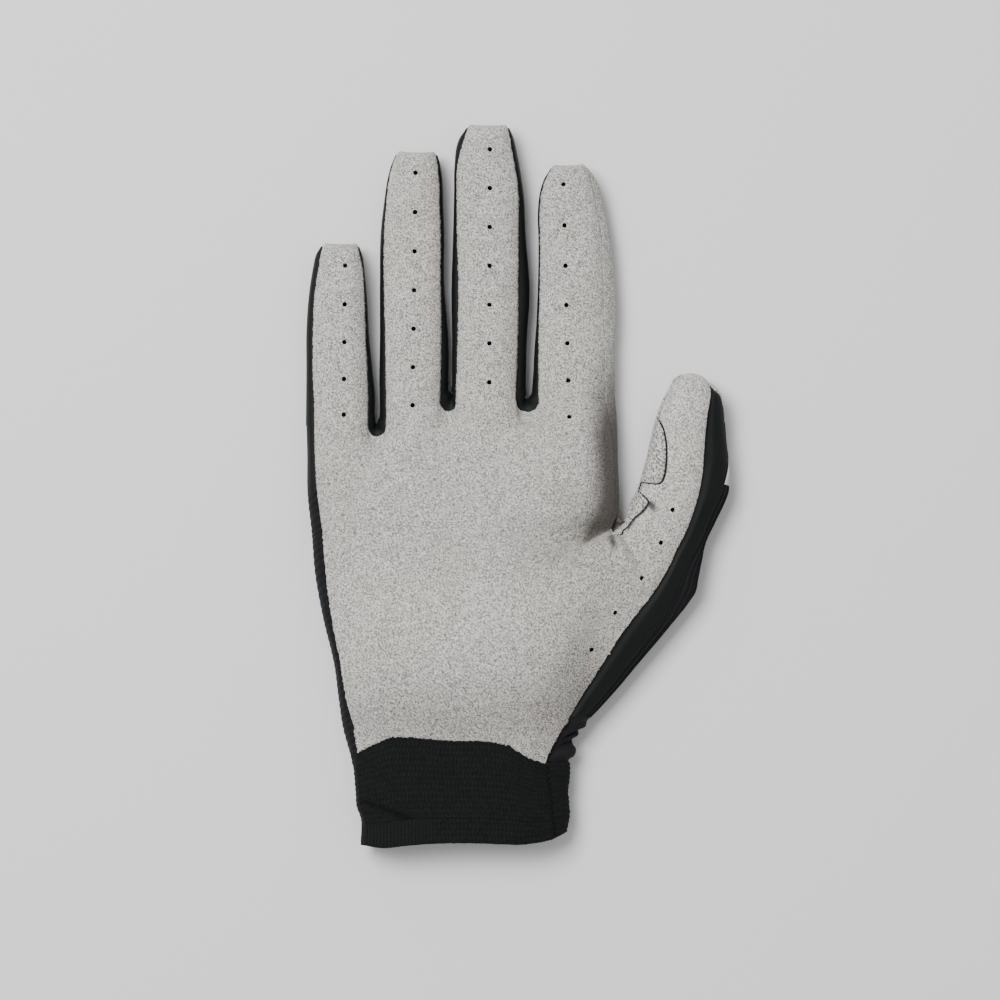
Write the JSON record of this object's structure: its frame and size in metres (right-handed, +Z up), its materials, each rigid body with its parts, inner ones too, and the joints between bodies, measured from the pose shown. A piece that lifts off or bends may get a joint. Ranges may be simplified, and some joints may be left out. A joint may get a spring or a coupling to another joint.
{
  "type": "motocross glove",
  "caption": "Right-hand motocross glove with a pierced suede palm, cloth back, side bands between the fingers and a knit cuff open at the wrist.",
  "frame": {"origin": "under the middle of the glove, on the surface that its back rests on", "axes": "+Y from the cuff to the fingertips, +X towards the thumb, +Z up out of the palm"},
  "size_m": [0.1352, 0.2307, 0.0237],
  "materials": {
    "palm_suede": "light warm grey synthetic suede with a fine matt nap",
    "web_suede": "rougher grey suede with dark thread along its seam",
    "ribbed_cloth": "black cloth with fine slanting ribs",
    "smooth_cloth": "smooth black stretch cloth with a faint sheen",
    "plain_patch": "plain light grey cloth",
    "cuff_knit": "black zigzag knit with a finely ribbed hem"
  },
  "bodies": {
    "root": {"palm_panel": "palm_suede", "index_side_panel": "palm_suede", "web_patch": "web_suede", "back_panel": "ribbed_cloth", "fourchette_little_ring": "smooth_cloth", "fourchette_ring_middle": "smooth_cloth", "fourchette_middle_index": "smooth_cloth", "little_side_band": "smooth_cloth", "thumb_side_band": "smooth_cloth", "thumb_back_patch": "plain_patch", "cuff_palm": "cuff_knit", "cuff_back": "cuff_knit", "cuff_hem": "cuff_knit"}
  },
  "joints": []
}
